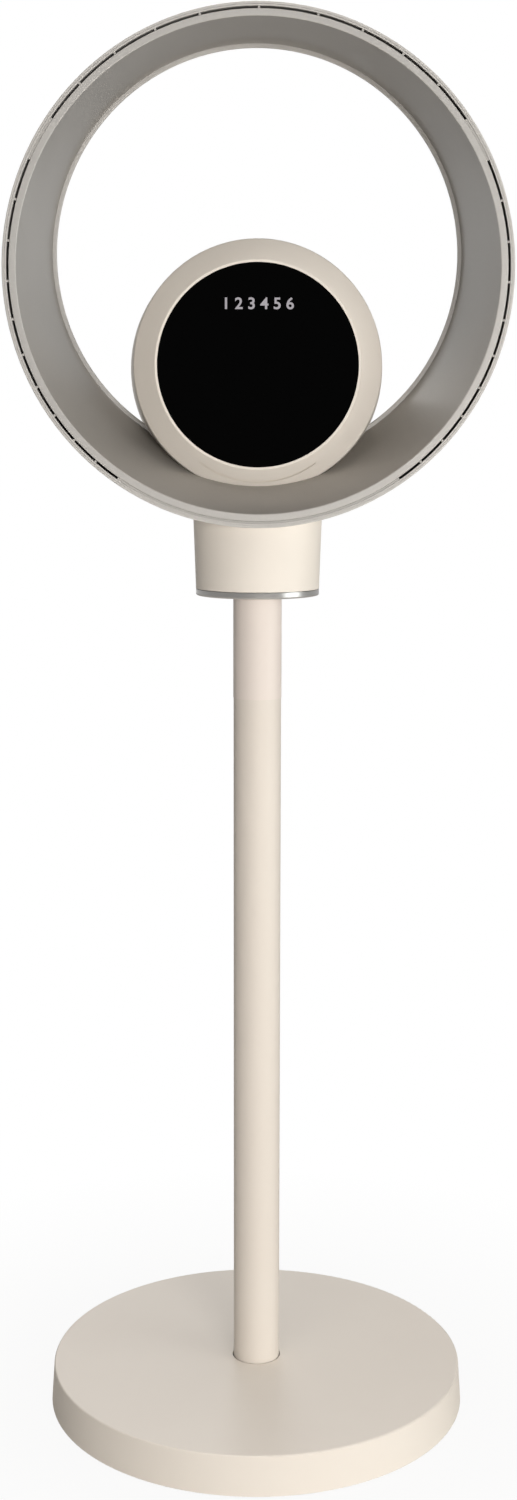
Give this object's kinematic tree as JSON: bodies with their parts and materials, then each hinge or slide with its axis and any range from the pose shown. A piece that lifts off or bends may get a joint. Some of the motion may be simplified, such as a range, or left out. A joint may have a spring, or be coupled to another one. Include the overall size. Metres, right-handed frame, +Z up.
{
  "type": "bladeless pedestal fan",
  "caption": "Pedestal fan without open blades: round base, slim pole, and a swinging ring with a round display drum nested in it that blows air from front slots.",
  "frame": {"origin": "on the floor under the middle of the pole", "axes": "+Z up the pole, -Y the way the fan blows (its front), +X to the right seen from the front"},
  "size_m": [0.3386, 0.304, 0.9836],
  "materials": {
    "cream_plastic": "satin",
    "cream_metal": "satin",
    "silver_shell": "satin metallic",
    "silver_liner": "satin metallic",
    "slot_grey": "satin",
    "trim_aluminium": "polished",
    "display_black": "gloss",
    "feet_rubber": "matte",
    "weight_iron": "matte",
    "steel": "satin",
    "aluminium": "satin",
    "magnet": "satin",
    "copper": "enamelled",
    "board_green": "gloss",
    "black_plastic": "matte",
    "grey_plastic": "matte",
    "gear_nylon": "satin",
    "filter_cloth": "matte"
  },
  "bodies": {
    "stand": {"base_cover": "cream_plastic", "base_plate": "black_plastic", "base_feet": "feet_rubber", "base_screws": "steel", "base_weight": "weight_iron", "pole_flange": "steel", "flange_bolts": "steel", "lower_pole": "cream_metal", "upper_pole": "cream_metal", "pole_joiner": "steel", "pole_cap": "grey_plastic", "dc_inlet": "black_plastic", "pole_lead": "feet_rubber", "lead_connector": "black_plastic", "trim_ring": "trim_aluminium", "swivel_spindle": "steel", "swivel_screws": "steel", "fixed_gear": "gear_nylon", "thrust_washer": "steel", "top_washer": "steel", "retaining_clip": "steel"},
    "head": {"turntable": "grey_plastic", "spindle_bush": "gear_nylon", "osc_motor": "steel", "osc_motor_screws": "steel", "collar": "cream_plastic", "ring_shell": "silver_shell", "ring_liner": "silver_liner", "nozzle_frame": "silver_shell", "slot_ring": "slot_grey", "neck_screws": "steel", "cable_grommet": "feet_rubber", "drum_housing": "cream_plastic", "display_glass": "display_black", "display_board": "board_green", "led_module": "black_plastic", "display_screws": "steel", "control_board": "board_green", "board_parts": "black_plastic", "board_screws": "steel", "motor_plate": "grey_plastic", "motor_plate_screws": "steel", "motor_can": "steel", "motor_cap": "aluminium", "motor_screws": "steel", "stator_core": "steel", "stator_coils": "copper", "motor_bearings": "steel", "inlet_plate": "black_plastic", "inlet_screws": "steel", "filter_frame": "black_plastic", "dust_filter": "filter_cloth", "rear_grille": "cream_plastic"},
    "impeller": {"impeller": "grey_plastic", "impeller_shaft": "steel", "rotor_magnet": "magnet", "impeller_nut": "steel"},
    "pinion": {"osc_pinion": "gear_nylon"}
  },
  "joints": [
    {"name": "head_swing", "type": "hinge", "parent": "stand", "child": "head", "pos_m": [0, 0, 0.615], "axis": [0, 0, 1], "range_deg": [-40, 40]},
    {"name": "impeller_spin", "type": "hinge", "parent": "head", "child": "impeller", "pos_m": [0, 0.05, 0.75384], "axis": [0, 1, 0], "continuous": true},
    {"name": "pinion_turn", "type": "hinge", "parent": "head", "child": "pinion", "pos_m": [0, -0.02715, 0.61], "axis": [0, 0, 1], "range_deg": [-145, 145]}
  ],
  "couplings": [
    {"joint": "pinion_turn", "follows": "head_swing", "ratio": 3.5}
  ]
}
